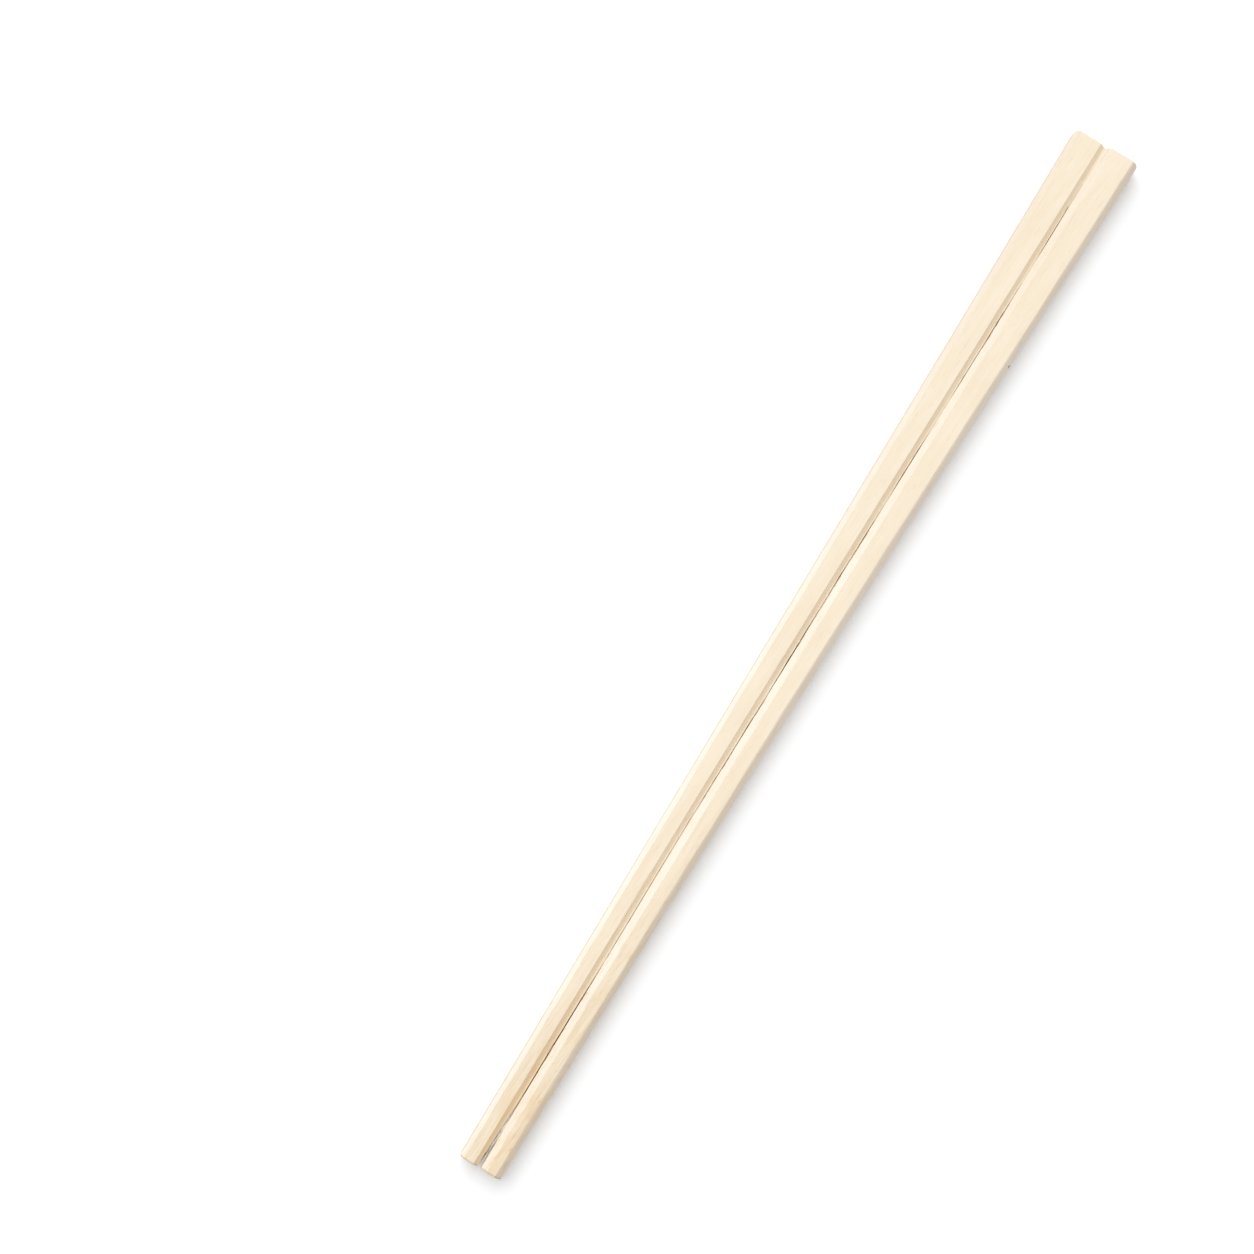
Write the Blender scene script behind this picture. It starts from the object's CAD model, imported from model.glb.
"""Disposable aspen chopsticks, still joined at the head, lying on a pale table.

The blank is shaped from a cube: divided along its length, grooved, tapered, bevelled, rounded and slit.
The sticks lie along Y with the joined head at +Y. X is across the pair and Z is up. Sizes are in metres.
"""

import math
import random

import bmesh
import bpy
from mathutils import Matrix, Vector, noise


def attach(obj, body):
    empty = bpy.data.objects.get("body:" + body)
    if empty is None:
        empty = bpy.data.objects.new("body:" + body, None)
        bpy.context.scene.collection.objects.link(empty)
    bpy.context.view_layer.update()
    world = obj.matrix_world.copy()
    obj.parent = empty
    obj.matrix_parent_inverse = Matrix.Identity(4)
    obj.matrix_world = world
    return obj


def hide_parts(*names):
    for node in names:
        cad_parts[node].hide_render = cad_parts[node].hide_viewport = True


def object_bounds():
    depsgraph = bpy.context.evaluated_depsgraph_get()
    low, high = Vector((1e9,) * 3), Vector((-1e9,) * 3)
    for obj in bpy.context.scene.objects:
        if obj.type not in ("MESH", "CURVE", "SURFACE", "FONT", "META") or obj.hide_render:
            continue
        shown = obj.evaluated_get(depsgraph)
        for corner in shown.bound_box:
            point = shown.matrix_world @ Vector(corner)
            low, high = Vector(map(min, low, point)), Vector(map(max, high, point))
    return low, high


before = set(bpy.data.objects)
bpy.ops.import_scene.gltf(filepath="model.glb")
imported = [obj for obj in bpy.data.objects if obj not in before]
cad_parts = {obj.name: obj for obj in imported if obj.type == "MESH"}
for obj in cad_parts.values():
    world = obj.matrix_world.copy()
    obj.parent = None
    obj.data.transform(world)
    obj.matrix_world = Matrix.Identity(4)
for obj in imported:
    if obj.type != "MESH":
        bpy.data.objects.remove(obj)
CAD_LOW, CAD_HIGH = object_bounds()
CAD_SIZE = CAD_HIGH - CAD_LOW

bl_info = {
    "name": "Joined chopsticks",
    "version": (1, 0, 0),
    "blender": (4, 5, 0),
    "location": "View3D > Sidebar > Chopsticks",
    "description": "Makes a pair of disposable wooden chopsticks that are still joined at the head",
    "category": "Add Mesh",
}

MM = 0.001
CAD_NODE = "joined_chopsticks"
WHITE = "#FFFFFF"

# places closer together than this count as the same
NEAR = 0.01 * MM

# edges that turn more than this are worn, in radians
WORN_ANGLE = 0.28

# shading breaks at edges that turn more than this
CREASE_ANGLE = math.radians(32)

FLECK_PLACE = (5.34 * MM, 61.2 * MM, 3.56 * MM)


# ---------------------------------------------------------------- sizes and colours


def length(name, description, default):
    return bpy.props.FloatProperty(
        name=name, description=description, default=default, unit="LENGTH", precision=5
    )


def count(name, description, default):
    return bpy.props.IntProperty(name=name, description=description, default=default, min=1)


def number(name, description, default):
    return bpy.props.FloatProperty(name=name, description=description, default=default, precision=3)


def angle(name, description, degrees):
    return bpy.props.FloatProperty(
        name=name, description=description, default=math.radians(degrees), subtype="ANGLE"
    )


def colour(name, description, default):
    return bpy.props.FloatVectorProperty(
        name=name, description=description, default=linear(default), size=3, min=0, max=1, subtype="COLOR"
    )


def linear(hex_code):
    """An sRGB hex value as the linear colour that Blender works in."""
    parts = [int(hex_code[i : i + 2], 16) / 255 for i in (1, 3, 5)]
    return tuple(p / 12.92 if p <= 0.04045 else ((p + 0.055) / 1.055) ** 2.4 for p in parts)


class BlankSizes(bpy.types.PropertyGroup):
    length: length("Length", "From the joined head to the tips", CAD_SIZE.y)
    thickness: length("Thickness", "Same from end to end", CAD_SIZE.z)
    head_width: length("Head width", "Across both sticks at the head", 12.2 * MM)
    middle_width: length("Middle width", "Across both sticks halfway along", 9.6 * MM)
    tip_width: length("Tip width", "Across both sticks at the tips", 8.0 * MM)
    bow: length("Bow", "How far the wood has warped sideways", 0.33 * MM)
    bevel_right: length("Right bevel", "Of the outer corners on the right, along each face", 0.98 * MM)
    bevel_left: length("Left bevel", "Of the outer corners on the left, where less was cut", 0.78 * MM)
    blunt: length("Blunt edge", "Width rounded along the right bevels by the blunt cutter", 0.34 * MM)
    wander: length("Tool wander", "How much the cut edges stray along the sticks", 0.055 * MM)
    groove_width: length("Groove width", "At the face, halfway along", 2.33 * MM)
    groove_spread: length("Groove spread", "How much wider it is at the tips than at the head", 0.42 * MM)
    shoulder_width: length("Shoulder width", "Of the steeper strip under each lip of the groove", 0.36 * MM)
    shoulder_depth: length("Shoulder depth", "Of that strip's lower edge below the face", 0.34 * MM)
    flank_width: length("Left flank", "From the left lip to the floor", 0.8 * MM)
    floor_right: length("Right of floor", "How far the floor reaches right of the middle", 0.06 * MM)
    groove_depth: length("Groove depth", "Of the groove in each face", 0.615 * MM)
    groove_offset: length("Groove offset", "How far off centre it was cut, halfway along", -0.13 * MM)
    groove_lean: length("Groove lean", "How much further off centre it is at the head", -0.06 * MM)
    groove_bend: number("Groove bend", "How many times as far as the sides it has warped", 1.18)
    notch_depth: length("Notch depth", "Of the nick in the head at the groove", 0.28 * MM)
    head_step: length("Head step", "How much longer the right stick is at the head", 0.28 * MM)
    head_round: length("Head corner", "Radius of the outer corners at the head, from above", 0.64 * MM)
    notch_round: length("Notch round", "Radius where the nick meets the head", 0.26 * MM)
    tip_round: length("Tip corner", "Radius of the outer corners at the tips, from above", 0.2 * MM)
    softness: length("Edge softness", "How far the wear along each edge reaches to either side", 0.035 * MM)
    stations: count("Stations", "Cross-sections along the sticks", 90)


class SlitSizes(bpy.types.PropertyGroup):
    width: length("Slit width", "Where the saw cut stands open", 0.14 * MM)
    pinched: length("Pinched width", "Where the wood has closed on the cut", 0.035 * MM)
    tip_gap: length("Tip gap", "Between the sticks at the tips", 0.82 * MM)
    gap_length: length("Gap length", "How far from the tips the gap starts to open", 18.5 * MM)
    joined: length("Joined length", "Uncut wood at the head, in the upper groove", 6.5 * MM)
    rake: length("Rake", "How much sooner the cut stops in the lower groove", 5.3 * MM)
    offset: length("Slit offset", "How far it lies to the left of the groove's middle", 0.055 * MM)
    drift: length("Drift", "How far it strays along the groove", 0.08 * MM)
    spring: length("Spring", "How far the gap at the tips has moved to the left", 0.16 * MM)
    roughness: length("Roughness", "How far the torn walls stray", 0.015 * MM)
    steps: count("Steps", "Cross-sections along the slit", 170)
    fibres: count("Fibres", "Torn fibres tried along the slit, and kept where it stands open", 170)
    fray: length("Fray", "How far from the slit's edges its fibres lie, at most", 0.045 * MM)
    web_fibres: count("Web fibres", "Torn fibres left hanging in the gap at the tips", 48)
    web_length: length("Web length", "How far from the tips they hang", 11 * MM)
    torn_length: length("Torn length", "How far from the tips all fibres are torn ones", 14 * MM)


class WoodColours(bpy.types.PropertyGroup):
    planed: colour("Planed", "The flat faces", "#F9EBD4")
    moulded: colour("Moulded", "Bevels and grooves, cut across the fibre", "#F9F1E2")
    dull: colour("Dull", "Outer sides and right bevels, where the cutter was blunt", "#EADCC9")
    sawn: colour("Sawn", "Torn walls of the slit", "#E6D2AC")
    frayed: colour("Frayed", "Fibres lying along the slit", "#D4B484")
    torn: colour("Torn", "Loose fibres hanging in the gap at the tips", "#F0ECE4")
    end_grain: colour("End grain", "The two ends", "#E6D6BC")
    pink: colour("Pink", "Over the warmer bands of growth", "#FBF6F0")
    tan: colour("Tan", "Over the wood towards the tips", "#F6F3EB")
    toast: colour("Toast", "Over the bevels and grooves towards the head", "#F4F0EB")
    streak: colour("Streak", "Over the vessels and short stained streaks", "#DEC9A8")
    heart: colour("Heart", "Over the streak of heartwood along the groove", "#F0D199")
    blotch: colour("Blotch", "Over the warm patches near the tips", "#F8E8D0")
    soiled: colour("Soiled", "Over the sawn edge of the tips", "#E0DCD6")
    fleck: colour("Fleck", "Over the one dark speck", "#8F6B44")


class StageSettings(bpy.types.PropertyGroup):
    floor: colour("Floor", "White table", "#FAFAFA")
    fill_colour: colour("Fill colour", "Light from all round, a little cooler than the lamp", "#FAFCFF")
    floor_size: length("Floor size", "Side of the square table", 6.0)
    floor_drop: length("Floor drop", "Of the table below the sticks", 0.02 * MM)
    key: number("Key light", "Strength of the soft lamp", 1.72)
    key_softness: angle("Key softness", "Spread of the soft lamp", 54)
    key_height: angle("Key height", "Of the lamp above the table", 49.5)
    key_turn: angle("Key turn", "From straight across the sticks towards the head", 40)
    fill: number("Fill light", "Strength of the light from all round", 0.64)
    floor_glow: number("Floor glow", "White added to the table where the camera sees it", 0.09)
    camera_height: length("Camera height", "Above the table", 0.38)
    camera_lens: number("Lens", "Focal length in millimetres on a 36 mm sensor", 63.7)
    camera_turn: angle("Camera turn", "About the vertical", 31.58)
    camera_right: length("Shift right", "Of the sticks' middle in the view", 28.25 * MM)
    camera_down: length("Shift down", "Of the sticks' middle in the view", 5.22 * MM)


# ---------------------------------------------------------------- modelling by selection and operator


def deselect_objects():
    for obj in bpy.context.selected_objects:
        obj.select_set(False)


def make_active(obj):
    deselect_objects()
    obj.select_set(True)
    bpy.context.view_layer.objects.active = obj


def add_cube(name, low, high):
    """A cube from one corner to the other, with its place and size in its mesh."""
    deselect_objects()
    middle = [(a + b) / 2 for a, b in zip(low, high)]
    size = [b - a for a, b in zip(low, high)]
    bpy.ops.mesh.primitive_cube_add(size=1, location=middle, scale=size)
    obj = bpy.context.active_object
    obj.name = name
    obj.data.name = name
    bpy.ops.object.transform_apply(location=True, rotation=True, scale=True)
    return obj


def edit(obj):
    make_active(obj)
    bpy.ops.object.mode_set(mode="EDIT")


def leave_edit():
    bpy.ops.object.mode_set(mode="OBJECT")


def pick(obj, kind, test):
    """Selects just the vertices, edges or faces that pass the test."""
    bpy.ops.mesh.select_mode(type=kind)
    bpy.ops.mesh.select_all(action="DESELECT")
    mesh = bmesh.from_edit_mesh(obj.data)
    everything = {"VERT": mesh.verts, "EDGE": mesh.edges, "FACE": mesh.faces}[kind]
    chosen = [item for item in everything if test(item)]
    for item in chosen:
        item.select_set(True)
    mesh.select_flush_mode()
    bmesh.update_edit_mesh(obj.data)
    return len(chosen)


def move(obj, test, x=0.0, y=0.0, z=0.0):
    """Moves the vertices whose places pass the test."""
    if not pick(obj, "VERT", lambda vert: test(vert.co)):
        raise RuntimeError(f"no vertices to move on {obj.name}")
    bpy.ops.transform.translate(value=(x, y, z))


def nudge(obj, test, x):
    """Moves the vertices that pass the test sideways, where there are any."""
    if pick(obj, "VERT", lambda vert: test(vert.co)):
        bpy.ops.transform.translate(value=(x, 0, 0))


def cut(place, normal):
    """Cuts an edge loop right round the mesh in edit mode, where a plane crosses it."""
    bpy.ops.mesh.select_all(action="SELECT")
    bpy.ops.mesh.bisect(plane_co=place, plane_no=normal, use_fill=False)


def bevel_edges(obj, test, width, segments):
    """Bevels the edges whose middle and direction pass the test."""

    def passes(edge):
        a, b = (vert.co for vert in edge.verts)
        return test((a + b) / 2, (b - a).normalized())

    if not pick(obj, "EDGE", passes):
        raise RuntimeError(f"no edges to bevel on {obj.name}")
    bpy.ops.mesh.bevel(offset_type="OFFSET", offset=width, segments=segments, profile=0.5, affect="EDGES")


def divide_along(obj, cuts, axis):
    """Divides every edge that runs along the axis, which cuts loops across the mesh."""
    pick(obj, "EDGE", lambda edge: abs((edge.verts[0].co - edge.verts[1].co).normalized()[axis]) > 0.99)
    bpy.ops.mesh.subdivide(number_cuts=cuts)


def steps_along(obj, axis=1):
    """The places along an axis where the mesh has cross-sections."""
    mesh = bmesh.from_edit_mesh(obj.data)
    places = sorted(vert.co[axis] for vert in mesh.verts)
    return [place for place, before in zip(places, [-math.inf, *places]) if place - before > 2 * NEAR]


def apply_modifier(obj, kind, **settings):
    make_active(obj)
    modifier = obj.modifiers.new(kind.title(), kind)
    for name, value in settings.items():
        setattr(modifier, name, value)
    bpy.ops.object.modifier_apply(modifier=modifier.name)


def assign(obj, material, test):
    """Gives a material to the faces that pass the test."""
    if material.name not in obj.data.materials:
        obj.data.materials.append(material)
    index = obj.data.materials.find(material.name)
    for face in obj.data.polygons:
        if test(face):
            face.material_index = index


# ---------------------------------------------------------------- the wood's own irregularity

# where the slit stands open: millimetres from the head, half the stretch, and how far open
OPEN_STRETCHES = (
    (16, 5, 0.7),
    (38, 11, 0.66),
    (63, 6, 0.9),
    (81, 9, 0.85),
    (99, 9, 1.2),
    (120, 12, 0.7),
    (148, 16, 0.5),
    (177, 14, 1.4),
    (196, 10, 0.7),
)


def stray(y, reach, row):
    """A smooth wander from -1 to 1 along the sticks, turning about every reach metres. Each row differs."""
    return 1.6 * noise.noise(Vector((y / reach, 3.7 * row, 0.5)))


def half_width(sizes, y):
    """Half the width of the pair, from a curve through the three widths."""
    along = y / (sizes.length / 2)
    slope = (sizes.head_width - sizes.tip_width) / 2
    hollow = (sizes.head_width + sizes.tip_width) / 2 - sizes.middle_width
    return (sizes.middle_width + slope * along + hollow * along**2) / 2


def bow(sizes, y):
    """The sideways warp of the whole pair, greatest past the middle."""
    from_head = min(1.0, max(0.0, 0.5 - y / sizes.length))
    return -sizes.bow * math.sin(math.pi * from_head**1.2)


def groove_centre(sizes, y):
    """The groove was cut a little off centre, and bends a little more than the sides do."""
    offset = sizes.groove_offset + sizes.groove_lean * y * 2 / sizes.length
    return sizes.groove_bend * bow(sizes, y) + offset + 0.5 * sizes.wander * stray(y, 45 * MM, 2)


def lip_shift(sizes, y):
    """How far each lip of the groove stands out from its place halfway along."""
    return -sizes.groove_spread * y / sizes.length / 2


# ---------------------------------------------------------------- the wood


def on_face(sizes, place):
    """Whether a place lies on the upper or the lower face."""
    return place.z < NEAR or place.z > sizes.thickness - NEAR


def shape_blank(sizes):
    """The tapered, grooved and bevelled blank before it is slit."""
    half = sizes.length / 2
    edge = sizes.head_width / 2
    wood = add_cube("aspen_sticks", (-edge, -half, 0), (edge, half, sizes.thickness))
    edit(wood)
    divide_along(wood, sizes.stations, 1)
    cut_grooves(wood, sizes)
    warp_blank(wood, sizes)
    bevel_outer_corners(wood, sizes)
    round_ends(wood, sizes)
    blunt_right_bevels(wood, sizes)
    leave_edit()
    return wood


def cut_grooves(wood, sizes):
    """Sinks the grooves in both faces, nicks the head between them and sets the right stick forward."""
    lip = sizes.groove_width / 2
    knee = lip - sizes.shoulder_width
    floor_left = sizes.flank_width - lip
    for x in (-lip, -knee, floor_left, sizes.floor_right, knee, lip):
        cut((x, 0, 0), (1, 0, 0))

    on_floor = lambda p: floor_left - NEAR < p.x < sizes.floor_right + NEAR
    on_shoulder = lambda p: abs(abs(p.x) - knee) < NEAR
    for chosen, depth in ((on_floor, sizes.groove_depth), (on_shoulder, sizes.shoulder_depth)):
        move(wood, lambda p: chosen(p) and p.z > sizes.thickness - NEAR, z=-depth)
        move(wood, lambda p: chosen(p) and p.z < NEAR, z=depth)

    at_head = lambda p: p.y > sizes.length / 2 - NEAR
    move(wood, lambda p: at_head(p) and on_floor(p), y=-sizes.notch_depth)
    for hand in (-1, 1):
        move(wood, lambda p: at_head(p) and p.x * hand > knee - NEAR, y=hand * sizes.head_step / 2)


def warp_blank(wood, sizes):
    """Tapers and warps the blank, one cross-section at a time."""
    edge = sizes.head_width / 2
    lip = sizes.groove_width / 2
    knee = lip - sizes.shoulder_width
    for y in steps_along(wood):
        here = lambda p: abs(p.y - y) < NEAR
        centre = groove_centre(sizes, y)
        shift = lip_shift(sizes, y)
        in_groove = lambda p: here(p) and abs(p.x) < lip + NEAR
        left_flank = lambda p: here(p) and -NEAR < p.x - centre + lip < sizes.flank_width + NEAR
        right_flank = lambda p: here(p) and knee - NEAR < p.x - centre < lip + NEAR
        nudge(wood, in_groove, centre)
        nudge(wood, left_flank, -shift)
        nudge(wood, right_flank, shift)
        for hand in (-1, 1):
            at_side = lambda p: here(p) and p.x * hand > edge - NEAR
            nudge(wood, at_side, bow(sizes, y) + hand * (half_width(sizes, y) - edge))


def bevel_outer_corners(wood, sizes):
    """Bevels the four outer corners, then lets their inner edges stray as a worn cutter leaves them."""
    outside = lambda p: abs(p.x) > half_width(sizes, p.y) - 0.5 * MM
    corner = lambda p, way: outside(p) and on_face(sizes, p) and abs(way.y) > 0.99
    bevel_edges(wood, lambda p, way: corner(p, way) and p.x > 0, sizes.bevel_right, 1)
    bevel_edges(wood, lambda p, way: corner(p, way) and p.x < 0, sizes.bevel_left, 1)
    past_groove = 2 * MM
    for y in steps_along(wood):
        for row, side in enumerate((-1, 1)):
            drift = sizes.wander * (stray(y, 22 * MM, 5 + row) + 0.6 * stray(y, 6 * MM, 8 + row))
            inner = lambda p: abs(p.y - y) < NEAR and p.x * side > past_groove and on_face(sizes, p)
            nudge(wood, inner, drift)


def round_ends(wood, sizes):
    """Rounds the upright corners at both ends, and the mouth of the nick in the head."""
    half = sizes.length / 2
    nick = groove_centre(sizes, half)
    mouth = sizes.groove_width / 2 + lip_shift(sizes, half) - sizes.shoulder_width
    at_head = lambda p: p.y > half - 0.2 * MM
    at_tips = lambda p: p.y < NEAR - half
    outermost = lambda p, width: abs(p.x) > width / 2 - 0.1 * MM
    for corner, radius, segments in (
        (lambda p: at_head(p) and abs(abs(p.x - nick) - mouth) < 2 * NEAR, sizes.notch_round, 4),
        (lambda p: at_head(p) and outermost(p, sizes.head_width), sizes.head_round, 5),
        (lambda p: at_tips(p) and outermost(p, sizes.tip_width), sizes.tip_round, 4),
    ):
        bevel_edges(wood, lambda p, way: abs(way.z) > 0.9 and corner(p), radius, segments)


def blunt_right_bevels(wood, sizes):
    """Rounds the inner edges of the right bevels, which the blunt cutter left less crisp."""
    inner = lambda p: 0.5 * MM < half_width(sizes, p.y) + bow(sizes, p.y) - p.x < 1.5 * MM
    along = lambda way: abs(way.y) > 0.9
    bevel_edges(wood, lambda p, way: on_face(sizes, p) and inner(p) and along(way), sizes.blunt, 3)


def slit_blade(sizes, slit, material):
    """The saw cut as a solid: thin and wavering, pinched in places, open at the tips, raked at the head."""
    half = sizes.length / 2
    side = 1 * MM
    beyond = 1 * MM
    low = (-side, -half - 2 * beyond, -beyond)
    high = (side, half - slit.joined, sizes.thickness + beyond)
    blade = add_cube("saw_cut", low, high)
    edit(blade)
    divide_along(blade, slit.steps, 1)
    divide_along(blade, 5, 2)
    for y in steps_along(blade):
        place = slit_centre(sizes, slit, y)
        reach = slit_half_width(sizes, slit, y)
        move(blade, lambda p: abs(p.y - y) < NEAR and p.x > side - NEAR, x=place + reach - side)
        move(blade, lambda p: abs(p.y - y) < NEAR and p.x < NEAR - side, x=place - reach + side)
    for z in steps_along(blade, 2):
        lower = 1 - z / sizes.thickness
        move(blade, lambda p: abs(p.z - z) < NEAR, y=-slit.rake * lower)
    bpy.ops.mesh.select_all(action="SELECT")
    bpy.ops.transform.vertex_random(offset=slit.roughness, uniform=0.4, normal=0.0, seed=4)
    leave_edit()
    blade.data.materials.append(material)
    return blade


def slit_centre(sizes, slit, y):
    """The slit strays a little to the left in the groove, and the left stick has sprung aside more."""
    drift = slit.drift * stray(y, 33 * MM, 12) - slit.offset
    return groove_centre(sizes, y) + drift - slit.spring * tip_opening(sizes, slit, y)


def tip_opening(sizes, slit, y):
    """How far the gap at the tips has opened: one at the tips and zero where it starts."""
    along = min(1.0, max(0.0, (y + sizes.length / 2) / slit.gap_length))
    return 1 - along * along * (3 - 2 * along)


def openness(sizes, y):
    """How far the cut stands open: zero where the wood has closed on it, and about one where it hasn't."""
    most = 0.0
    for middle, reach, amount in OPEN_STRETCHES:
        away = abs(sizes.length / 2 - y - middle * MM) / (reach * MM)
        most = max(most, amount * (1 - away**4))
    return most * (1 + 0.25 * stray(y, 6 * MM, 20))


def slit_half_width(sizes, slit, y):
    """Half the slit's width at a place along it."""
    spread = (slit.tip_gap - slit.width) * tip_opening(sizes, slit, y)
    return (slit.pinched + (slit.width - slit.pinched) * openness(sizes, y) + spread) / 2


def saw_slit(wood, blade):
    """Takes the saw cut out of the blank."""
    exact = {"operation": "DIFFERENCE", "solver": "EXACT", "material_mode": "TRANSFER"}
    apply_modifier(wood, "BOOLEAN", object=blade, **exact)
    bpy.data.objects.remove(blade)


# ---------------------------------------------------------------- torn fibres


def make_sliver(name):
    """One torn fibre: a thin strip that narrows to a point and curls up at its loose end."""
    sliver = add_cube(name, (-0.5, 0, 0), (0.5, 0.5, 0.5))
    edit(sliver)
    pick(sliver, "FACE", lambda face: face.normal.y > 0.9)
    bpy.ops.mesh.extrude_region_move(TRANSFORM_OT_translate={"value": (0.1, 0.3, 0.3)})
    bpy.ops.transform.resize(value=(0.7, 1, 0.7))
    bpy.ops.mesh.extrude_region_move(TRANSFORM_OT_translate={"value": (0.2, 0.2, 0.7)})
    bpy.ops.transform.resize(value=(0.15, 1, 0.2))
    leave_edit()
    return sliver


def place_sliver(pattern, size, turn, place):
    """A copy of the pattern with its own mesh: sized, turned and put in place."""
    make_active(pattern)
    bpy.ops.object.duplicate(linked=False)
    copy = bpy.context.active_object
    copy.scale = size
    copy.rotation_euler = (0, 0, turn)
    copy.location = place
    bpy.ops.object.transform_apply(location=True, rotation=True, scale=True)
    return copy


def fray_slit(pattern, sizes, slit, chance):
    """Fibres that lie along both sides of the slit, in the bottom of the upper groove."""
    first = -sizes.length / 2 + 1 * MM
    last = sizes.length / 2 - slit.joined
    level = sizes.thickness - sizes.groove_depth - NEAR
    fibres = []
    for _ in range(slit.fibres):
        y = chance.uniform(first, last)
        if chance.random() > openness(sizes, y):
            continue
        side = chance.choice((-1, 1))
        reach = slit_half_width(sizes, slit, y) + chance.uniform(0, slit.fray)
        x = slit_centre(sizes, slit, y) + side * reach
        run = chance.uniform(0.6, 3.2) * MM * chance.choice((-1, 1))
        size = (chance.uniform(0.03, 0.06) * MM, run, chance.uniform(0.05, 0.13) * MM)
        turn = math.radians(chance.gauss(0, 2.5))
        fibres.append(place_sliver(pattern, size, turn, (x, y, level)))
    return fibres


def hang_web(pattern, sizes, slit, chance):
    """Fibres that were torn loose as the tips sprang apart, and hang in the gap."""
    fibres = []
    for _ in range(slit.web_fibres):
        y = chance.uniform(0.1 * MM, slit.web_length) - sizes.length / 2
        x = slit_centre(sizes, slit, y) + chance.uniform(-0.9, 0.9) * slit_half_width(sizes, slit, y)
        z = sizes.thickness - sizes.groove_depth - chance.uniform(0.35, 1.0) * MM
        wide = chance.uniform(0.1, 0.2) * MM
        size = (wide, chance.uniform(2, 5) * MM, chance.uniform(0.05, 0.1) * MM)
        turn = math.radians(chance.gauss(0, 1.5))
        fibres.append(place_sliver(pattern, size, turn, (x, y, z)))
    return fibres


def join(objects, name):
    """Makes one object of several."""
    deselect_objects()
    for obj in objects:
        obj.select_set(True)
    bpy.context.view_layer.objects.active = objects[0]
    bpy.ops.object.join()
    whole = bpy.context.active_object
    whole.name = name
    whole.data.name = name
    return whole


def turn_outward(obj):
    """Makes every face look outward, also on the fibres that were mirrored."""
    edit(obj)
    bpy.ops.mesh.select_all(action="SELECT")
    bpy.ops.mesh.normals_make_consistent(inside=False)
    leave_edit()


# ---------------------------------------------------------------- materials


def add_node(tree, kind, inputs=None, **settings):
    """Adds one node with its settings. An input is either a value or another node's output."""
    node = tree.nodes.new(kind)
    for name, value in settings.items():
        setattr(node, name, value)
    for name, value in (inputs or {}).items():
        if isinstance(value, bpy.types.NodeSocket):
            tree.links.new(value, node.inputs[name])
        else:
            node.inputs[name].default_value = value
    return node


def empty_material(name):
    """A material that has no nodes yet."""
    material = bpy.data.materials.new(name)
    material.use_nodes = True
    material.node_tree.nodes.clear()
    return material


def rgba(colour_value):
    return (*colour_value, 1.0)


def grain(tree, place, across, along, detail, slope, shift, limits=None):
    """Noise with features that many millimetres across and along the fibre, at a slope in degrees.

    With limits, it is zero below the first and one above the second.
    """
    turn = (0, 0, math.radians(slope))
    turned = add_node(tree, "ShaderNodeMapping", {"Vector": place, "Rotation": turn}).outputs[0]
    scale = (1 / (across * MM), 1 / (along * MM), 1 / (across * MM))
    spread = {"Vector": turned, "Location": (shift, 0, 0), "Scale": scale}
    mapped = add_node(tree, "ShaderNodeMapping", spread).outputs[0]
    settings = {"Vector": mapped, "Scale": 1.0, "Detail": detail}
    pattern = add_node(tree, "ShaderNodeTexNoise", settings).outputs[0]
    if limits is None:
        return pattern
    ease = {"Value": pattern, "From Min": limits[0], "From Max": limits[1]}
    return add_node(tree, "ShaderNodeMapRange", ease, interpolation_type="SMOOTHSTEP").outputs[0]


def lay_tints(tree, wood, layers):
    """Multiplies the wood by one colour after another, each as strongly as its row says.

    A row holds what the strength follows, two values of it, the strength at each of them, the pattern that
    the colour shows in, where 1 is all over, and the colour.
    """
    for follows, low, high, at_low, at_high, pattern, over in layers:
        limits = {"Value": follows, "From Min": low, "From Max": high, "To Min": at_low, "To Max": at_high}
        strength = add_node(tree, "ShaderNodeMapRange", limits, interpolation_type="SMOOTHSTEP")
        amount = add_node(tree, "ShaderNodeMath", {0: strength.outputs[0], 1: pattern}, operation="MULTIPLY")
        inputs = {0: amount.outputs[0], 6: wood, 7: rgba(over)}
        wood = add_node(tree, "ShaderNodeMix", inputs, data_type="RGBA", blend_type="MULTIPLY").outputs[2]
    return wood


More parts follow.
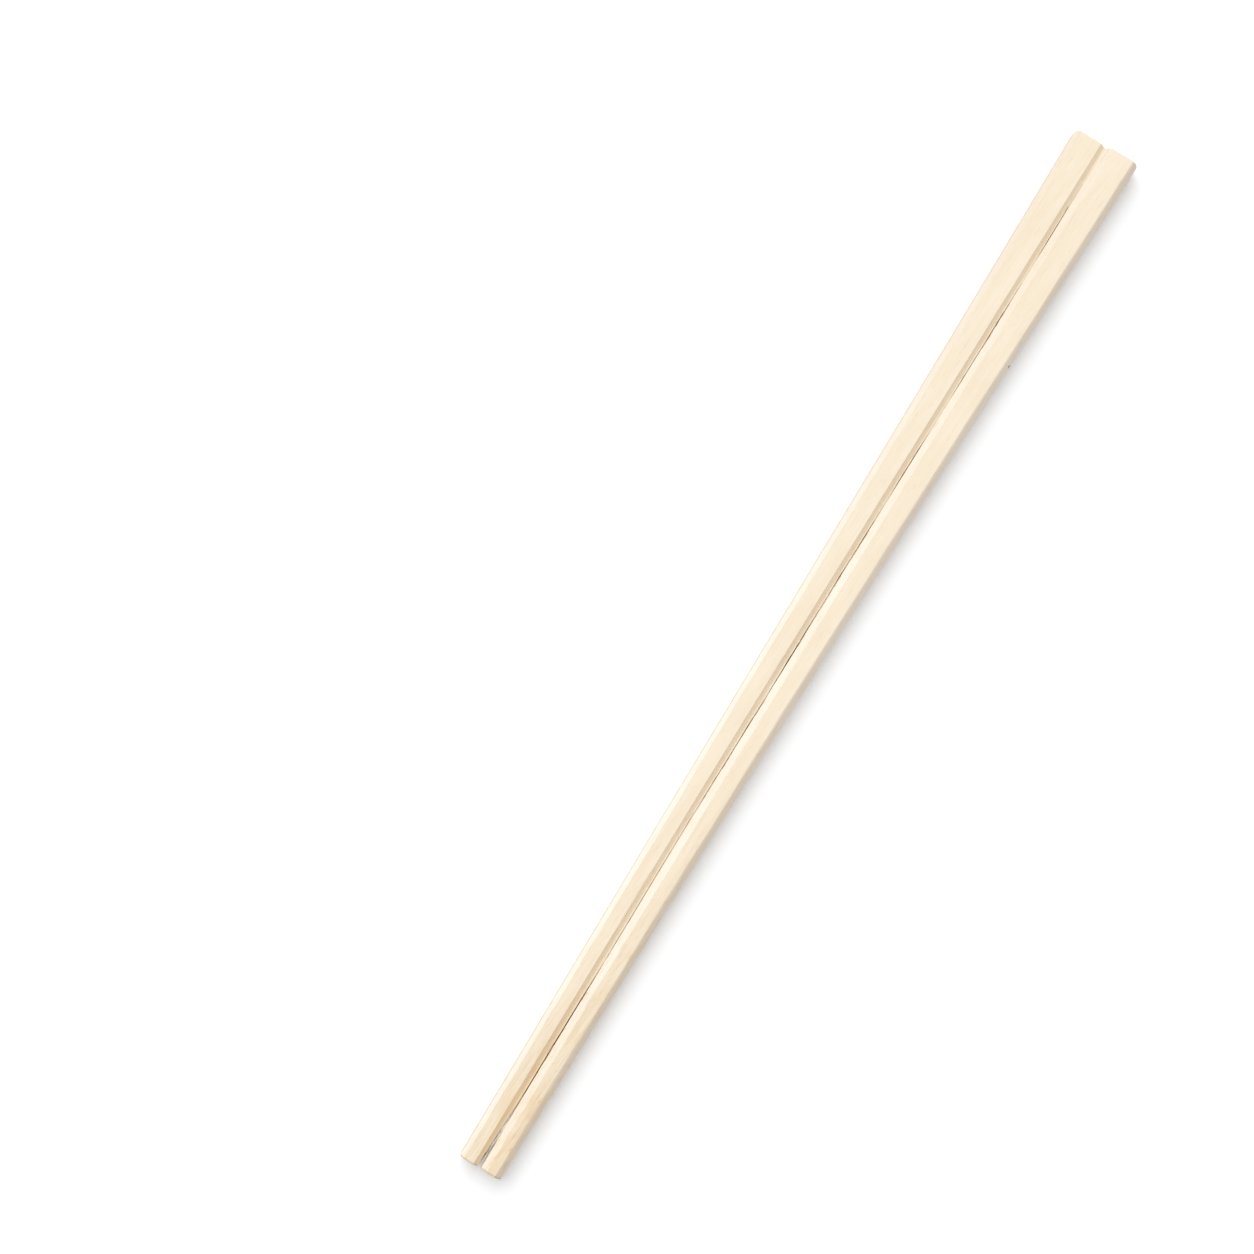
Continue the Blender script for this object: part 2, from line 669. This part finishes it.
def aspen(name, colours, base, roughness, fibre_depth, streaks, tanned=0.45, toasted=0.0, heartwood=0.0):
    """Bare aspen, Populus: a pale, even, fine-pored wood with a dull surface.

    The eye sees faint bands of growth a few millimetres apart, fine fibres along the stick, short darker
    vessel lines and soft pinkish clouds. Real vessels are under 0.1 mm wide, and are drawn twice as wide.
    The wood is tanned towards the tips, and what the cutter moulded is toasted towards the head. Brown
    heartwood comes to the surface along the left of the groove, most of all near the tips.
    """
    material = empty_material(name)
    tree = material.node_tree
    place = add_node(tree, "ShaderNodeTexCoord").outputs["Object"]
    growth = grain(tree, place, across=2.2, along=60, detail=2, slope=2, shift=0, limits=(0.36, 0.64))
    clouds = grain(tree, place, across=3, along=9, detail=3, slope=9, shift=5, limits=(0.35, 0.65))
    fibres = grain(tree, place, across=0.22, along=7, detail=5, slope=1.5, shift=11)
    vessels = grain(tree, place, across=0.2, along=3.2, detail=2, slope=3, shift=17, limits=(0.62, 0.76))
    stains = grain(tree, place, across=0.5, along=2.6, detail=2, slope=9, shift=23, limits=(0.6, 0.8))
    patches = grain(tree, place, across=1, along=5, detail=3, slope=4, shift=31, limits=(0.45, 0.7))
    ease = {"Value": fibres, "From Min": 0.35, "From Max": 0.75}
    threads = add_node(tree, "ShaderNodeMapRange", ease, interpolation_type="SMOOTHSTEP").outputs[0]

    # places along the sticks, slanted so that the tan starts sooner on the right and the toast on the left
    x, y, _ = add_node(tree, "ShaderNodeSeparateXYZ", {"Vector": place}).outputs
    along_tan, along_toast = (
        add_node(tree, "ShaderNodeMath", {0: x, 1: slant, 2: y}, operation="MULTIPLY_ADD").outputs[0]
        for slant in (-6.0, -8.0)
    )
    ease = {"Value": along_tan, "From Min": -115 * MM, "From Max": -5 * MM, "To Min": 1.0, "To Max": 0.0}
    to_tips = add_node(tree, "ShaderNodeMapRange", ease, interpolation_type="SMOOTHSTEP").outputs[0]
    away = add_node(tree, "ShaderNodeVectorMath", {0: place, 1: FLECK_PLACE}, operation="DISTANCE")

    # the fibres, vessel lines and stains are bolder towards the tips
    marks = (
        (to_tips, 0, 1, 0.45 * share * streaks, 1.3 * share * streaks, pattern, colours.streak)
        for pattern, share in ((threads, 0.22), (vessels, 0.35), (stains, 0.45))
    )
    wood = lay_tints(
        tree,
        rgba(base),
        (
            (growth, 0, 1, 0.15, 0.35, 1, colours.pink),
            (clouds, 0, 1, 0.1, 0.4, 1, colours.pink),
            (to_tips, 0, 1, 0.0, tanned, 1, colours.tan),
            (along_toast, 10 * MM, 135 * MM, 0.0, toasted, 1, colours.toast),
            (y, -100 * MM, -40 * MM, 0.62 * heartwood, 0.36 * heartwood, 1, colours.heart),
            (to_tips, 0.3, 1, 0.0, 0.5 * streaks, patches, colours.blotch),
            *marks,
            (away.outputs["Value"], 0.2 * MM, 0.34 * MM, 0.8, 0.0, 1, colours.fleck),
            (y, -101.4 * MM, -101.1 * MM, 1.0, 0.0, 1, colours.soiled),
        ),
    )
    ease = {"Value": fibres, "From Min": 0.3, "From Max": 0.7}
    dulness = {"To Min": roughness - 0.06, "To Max": roughness + 0.06}
    shine = add_node(tree, "ShaderNodeMapRange", ease | dulness, interpolation_type="SMOOTHSTEP").outputs[0]
    height = add_node(tree, "ShaderNodeMath", {0: fibres, 1: vessels}, operation="SUBTRACT").outputs[0]
    bump = add_node(tree, "ShaderNodeBump", {"Height": height, "Strength": 0.6, "Distance": fibre_depth})
    surface = {"Base Color": wood, "Roughness": shine, "IOR": 1.5, "Normal": bump.outputs[0]}
    shader = add_node(tree, "ShaderNodeBsdfPrincipled", surface)
    add_node(tree, "ShaderNodeOutputMaterial", {"Surface": shader.outputs[0]})
    return material


def finish_blank(wood, sizes, colours):
    """Gives each cut surface of the blank its own finish, by where it lies and how it faces.

    The planed faces look smooth and warm, and the moulded bevels and grooves paler and more open. A blunt
    cutter left the outer sides and the right bevels greyer and duller. The end grain is the darkest.
    """
    cut_open = {"roughness": 0.7, "fibre_depth": 0.05 * MM, "streaks": 0.8, "tanned": 0.1}
    wood.data.materials.append(aspen("planed aspen", colours, colours.planed, 0.62, 0.02 * MM, 1.0))
    moulded = aspen("moulded aspen", colours, colours.moulded, toasted=1.0, **cut_open)
    heart = aspen("moulded heartwood", colours, colours.moulded, heartwood=1.0, **cut_open)
    dull = aspen("bluntly cut aspen", colours, colours.dull, 0.75, 0.05 * MM, 0.8, tanned=0.5, toasted=0.5)
    ends = aspen("aspen end grain", colours, colours.end_grain, 0.8, 0.04 * MM, 1.0)

    past_groove = 2.5 * MM
    sunk = sizes.groove_depth * 0.9
    in_floor = lambda face: sunk < face.center.z < sizes.thickness - sunk and abs(face.normal.z) > 0.8
    at_end = lambda face: abs(face.normal.y) > (0.2 if face.center.y < 0 else 0.75)
    assign(wood, moulded, lambda face: abs(face.normal.z) > 0.2 and abs(face.normal.x) > 0.3)
    assign(wood, heart, in_floor)
    assign(wood, heart, lambda face: face.normal.x > 0.3 and face.center.x < past_groove)
    assign(wood, dull, lambda face: face.normal.x > 0.3 and face.center.x > past_groove)
    assign(wood, dull, lambda face: face.normal.x < -0.78 and face.center.x < -past_groove)
    assign(wood, ends, at_end)


def table_white(settings):
    """Matt white laminate, even all over. The camera sees it a little whiter, which lifts the shadow."""
    material = empty_material("matt white table")
    tree = material.node_tree
    matt = {"Base Color": rgba(settings.floor), "Roughness": 1.0, "Specular IOR Level": 0.0}
    shader = add_node(tree, "ShaderNodeBsdfPrincipled", matt)
    share = {0: seen_directly(tree), 1: settings.floor_glow}
    glow = add_node(tree, "ShaderNodeMath", share, operation="MULTIPLY").outputs[0]
    white = add_node(tree, "ShaderNodeEmission", {"Color": rgba(linear(WHITE)), "Strength": glow})
    both = add_node(tree, "ShaderNodeAddShader", {0: shader.outputs[0], 1: white.outputs[0]})
    add_node(tree, "ShaderNodeOutputMaterial", {"Surface": both.outputs[0]})
    return material


def seen_directly(tree):
    """One for what the camera sees, straight, mirrored or through glass, and zero for other light."""
    rays = add_node(tree, "ShaderNodeLightPath").outputs
    seen = rays["Is Camera Ray"]
    for ray in ("Is Glossy Ray", "Is Transmission Ray"):
        seen = add_node(tree, "ShaderNodeMath", {0: seen, 1: rays[ray]}, operation="MAXIMUM").outputs[0]
    return seen


# ---------------------------------------------------------------- table, light and camera


def lay_table(settings):
    """The table that the sticks lie on, a hair below them so that the two surfaces stay apart."""
    deselect_objects()
    bpy.ops.mesh.primitive_plane_add(size=settings.floor_size, location=(0, 0, -settings.floor_drop))
    table = bpy.context.active_object
    table.name = "table"
    table.data.materials.append(table_white(settings))
    return table


def hang_lamp(settings):
    """A wide, soft lamp from the left and from the head. Only its direction counts, not its place."""
    bpy.ops.object.light_add(type="SUN", location=(-0.5, 0.3, 0.8))
    lamp = bpy.context.active_object
    lamp.name = "soft_lamp"
    lamp.data.energy = settings.key
    lamp.data.angle = settings.key_softness
    lamp.rotation_euler = (0, settings.key_height - math.pi / 2, -settings.key_turn)


def light_from_all_round(settings):
    """An even fill on the object, before a white backdrop."""
    world = bpy.data.worlds.new("studio")
    bpy.context.scene.world = world
    world.use_nodes = True
    tree = world.node_tree
    tree.nodes.clear()
    even = {"Color": rgba(settings.fill_colour), "Strength": settings.fill}
    fill = add_node(tree, "ShaderNodeBackground", even)
    white = add_node(tree, "ShaderNodeBackground", {"Color": rgba(linear(WHITE)), "Strength": 1.0})
    sides = {0: seen_directly(tree), 1: fill.outputs[0], 2: white.outputs[0]}
    mixed = add_node(tree, "ShaderNodeMixShader", sides)
    add_node(tree, "ShaderNodeOutputWorld", {"Surface": mixed.outputs[0]})


def set_camera(settings):
    """Looks straight down, turned and shifted so that the sticks lie aslant to the right of the middle."""
    turn = settings.camera_turn
    right = Vector((math.cos(turn), math.sin(turn), 0))
    up = Vector((-math.sin(turn), math.cos(turn), 0))
    middle = up * settings.camera_down - right * settings.camera_right
    place = (middle.x, middle.y, settings.camera_height)
    bpy.ops.object.camera_add(location=place, rotation=(0, 0, turn))
    camera = bpy.context.active_object
    camera.name = "camera"
    camera.data.lens = settings.camera_lens
    camera.data.sensor_width = 36
    camera.data.clip_start = 0.01
    bpy.context.scene.camera = camera
    bpy.context.scene.view_settings.view_transform = "Standard"


# ---------------------------------------------------------------- operators


class CHOPSTICKS_OT_wood(bpy.types.Operator):
    """Shape the blank, give each cut surface its own finish and saw the slit"""

    bl_idname = "chopsticks.wood"
    bl_label = "Joined sticks"

    def execute(self, context):
        sizes = context.scene.chopstick_blank
        slit = context.scene.chopstick_slit
        colours = context.scene.chopstick_colours
        wood = shape_blank(sizes)
        wear = {"segments": 3, "limit_method": "ANGLE", "angle_limit": WORN_ANGLE}
        apply_modifier(wood, "BEVEL", width=sizes.softness, **wear)
        finish_blank(wood, sizes, colours)

        # the walls that the saw tore look the brownest and roughest
        sawn = aspen("sawn aspen", colours, colours.sawn, 0.85, 0.08 * MM, 1.0)
        saw_slit(wood, slit_blade(sizes, slit, sawn))
        make_active(wood)
        bpy.ops.object.shade_smooth_by_angle(angle=CREASE_ANGLE)
        apply_modifier(wood, "WEIGHTED_NORMAL", keep_sharp=True)
        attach(wood, "root")
        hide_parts(CAD_NODE)
        return {"FINISHED"}


class CHOPSTICKS_OT_fibres(bpy.types.Operator):
    """Scatter the torn fibres that the saw left along the slit"""

    bl_idname = "chopsticks.fibres"
    bl_label = "Torn fibres"

    def execute(self, context):
        sizes = context.scene.chopstick_blank
        slit = context.scene.chopstick_slit
        colours = context.scene.chopstick_colours
        chance = random.Random(12)
        pattern = make_sliver("fibre_pattern")
        fibres = fray_slit(pattern, sizes, slit, chance) + hang_web(pattern, sizes, slit, chance)
        bpy.data.objects.remove(pattern)
        whole = join(fibres, "slit_fibres")
        turn_outward(whole)

        # along the slit they look brown from the saw, and the pale ones at the tips catch the light
        thin = {"roughness": 0.8, "fibre_depth": 0.01 * MM, "streaks": 0.6, "tanned": 0.0}
        frayed = aspen("frayed aspen", colours, colours.frayed, **thin)
        torn = aspen("torn aspen fibre", colours, colours.torn, **thin)
        whole.data.materials.append(frayed)
        assign(whole, torn, lambda face: face.center.y < slit.torn_length - sizes.length / 2)
        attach(whole, "root")
        return {"FINISHED"}


class CHOPSTICKS_OT_stage(bpy.types.Operator):
    """Lay the white table, light it softly from one side and set the camera above"""

    bl_idname = "chopsticks.stage"
    bl_label = "Table, light and camera"

    def execute(self, context):
        settings = context.scene.chopstick_stage
        floor = lay_table(settings)
        hang_lamp(settings)
        light_from_all_round(settings)
        set_camera(settings)
        return {"FINISHED"}


class CHOPSTICKS_PT_panel(bpy.types.Panel):
    """Lists the pieces in the order they are made"""

    bl_idname = "CHOPSTICKS_PT_panel"
    bl_label = "Chopsticks"
    bl_space_type = "VIEW_3D"
    bl_region_type = "UI"
    bl_category = "Chopsticks"

    def draw(self, context):
        for kind in MAKERS:
            self.layout.operator(kind.bl_idname)
        for name in SETTINGS:
            group = getattr(context.scene, name)
            box = self.layout.box()
            for key in group.__annotations__:
                box.prop(group, key)


MAKERS = (CHOPSTICKS_OT_wood, CHOPSTICKS_OT_fibres, CHOPSTICKS_OT_stage)
SETTINGS = {
    "chopstick_blank": BlankSizes,
    "chopstick_slit": SlitSizes,
    "chopstick_colours": WoodColours,
    "chopstick_stage": StageSettings,
}


def register():
    for kind in (*SETTINGS.values(), *MAKERS, CHOPSTICKS_PT_panel):
        bpy.utils.register_class(kind)
    for name, kind in SETTINGS.items():
        setattr(bpy.types.Scene, name, bpy.props.PointerProperty(type=kind))


def unregister():
    for name in SETTINGS:
        delattr(bpy.types.Scene, name)
    for kind in reversed((*SETTINGS.values(), *MAKERS, CHOPSTICKS_PT_panel)):
        bpy.utils.unregister_class(kind)


def main():
    register()
    bpy.ops.chopsticks.wood()
    bpy.ops.chopsticks.fibres()
    bpy.ops.chopsticks.stage()


if __name__ == "__main__":
    main()
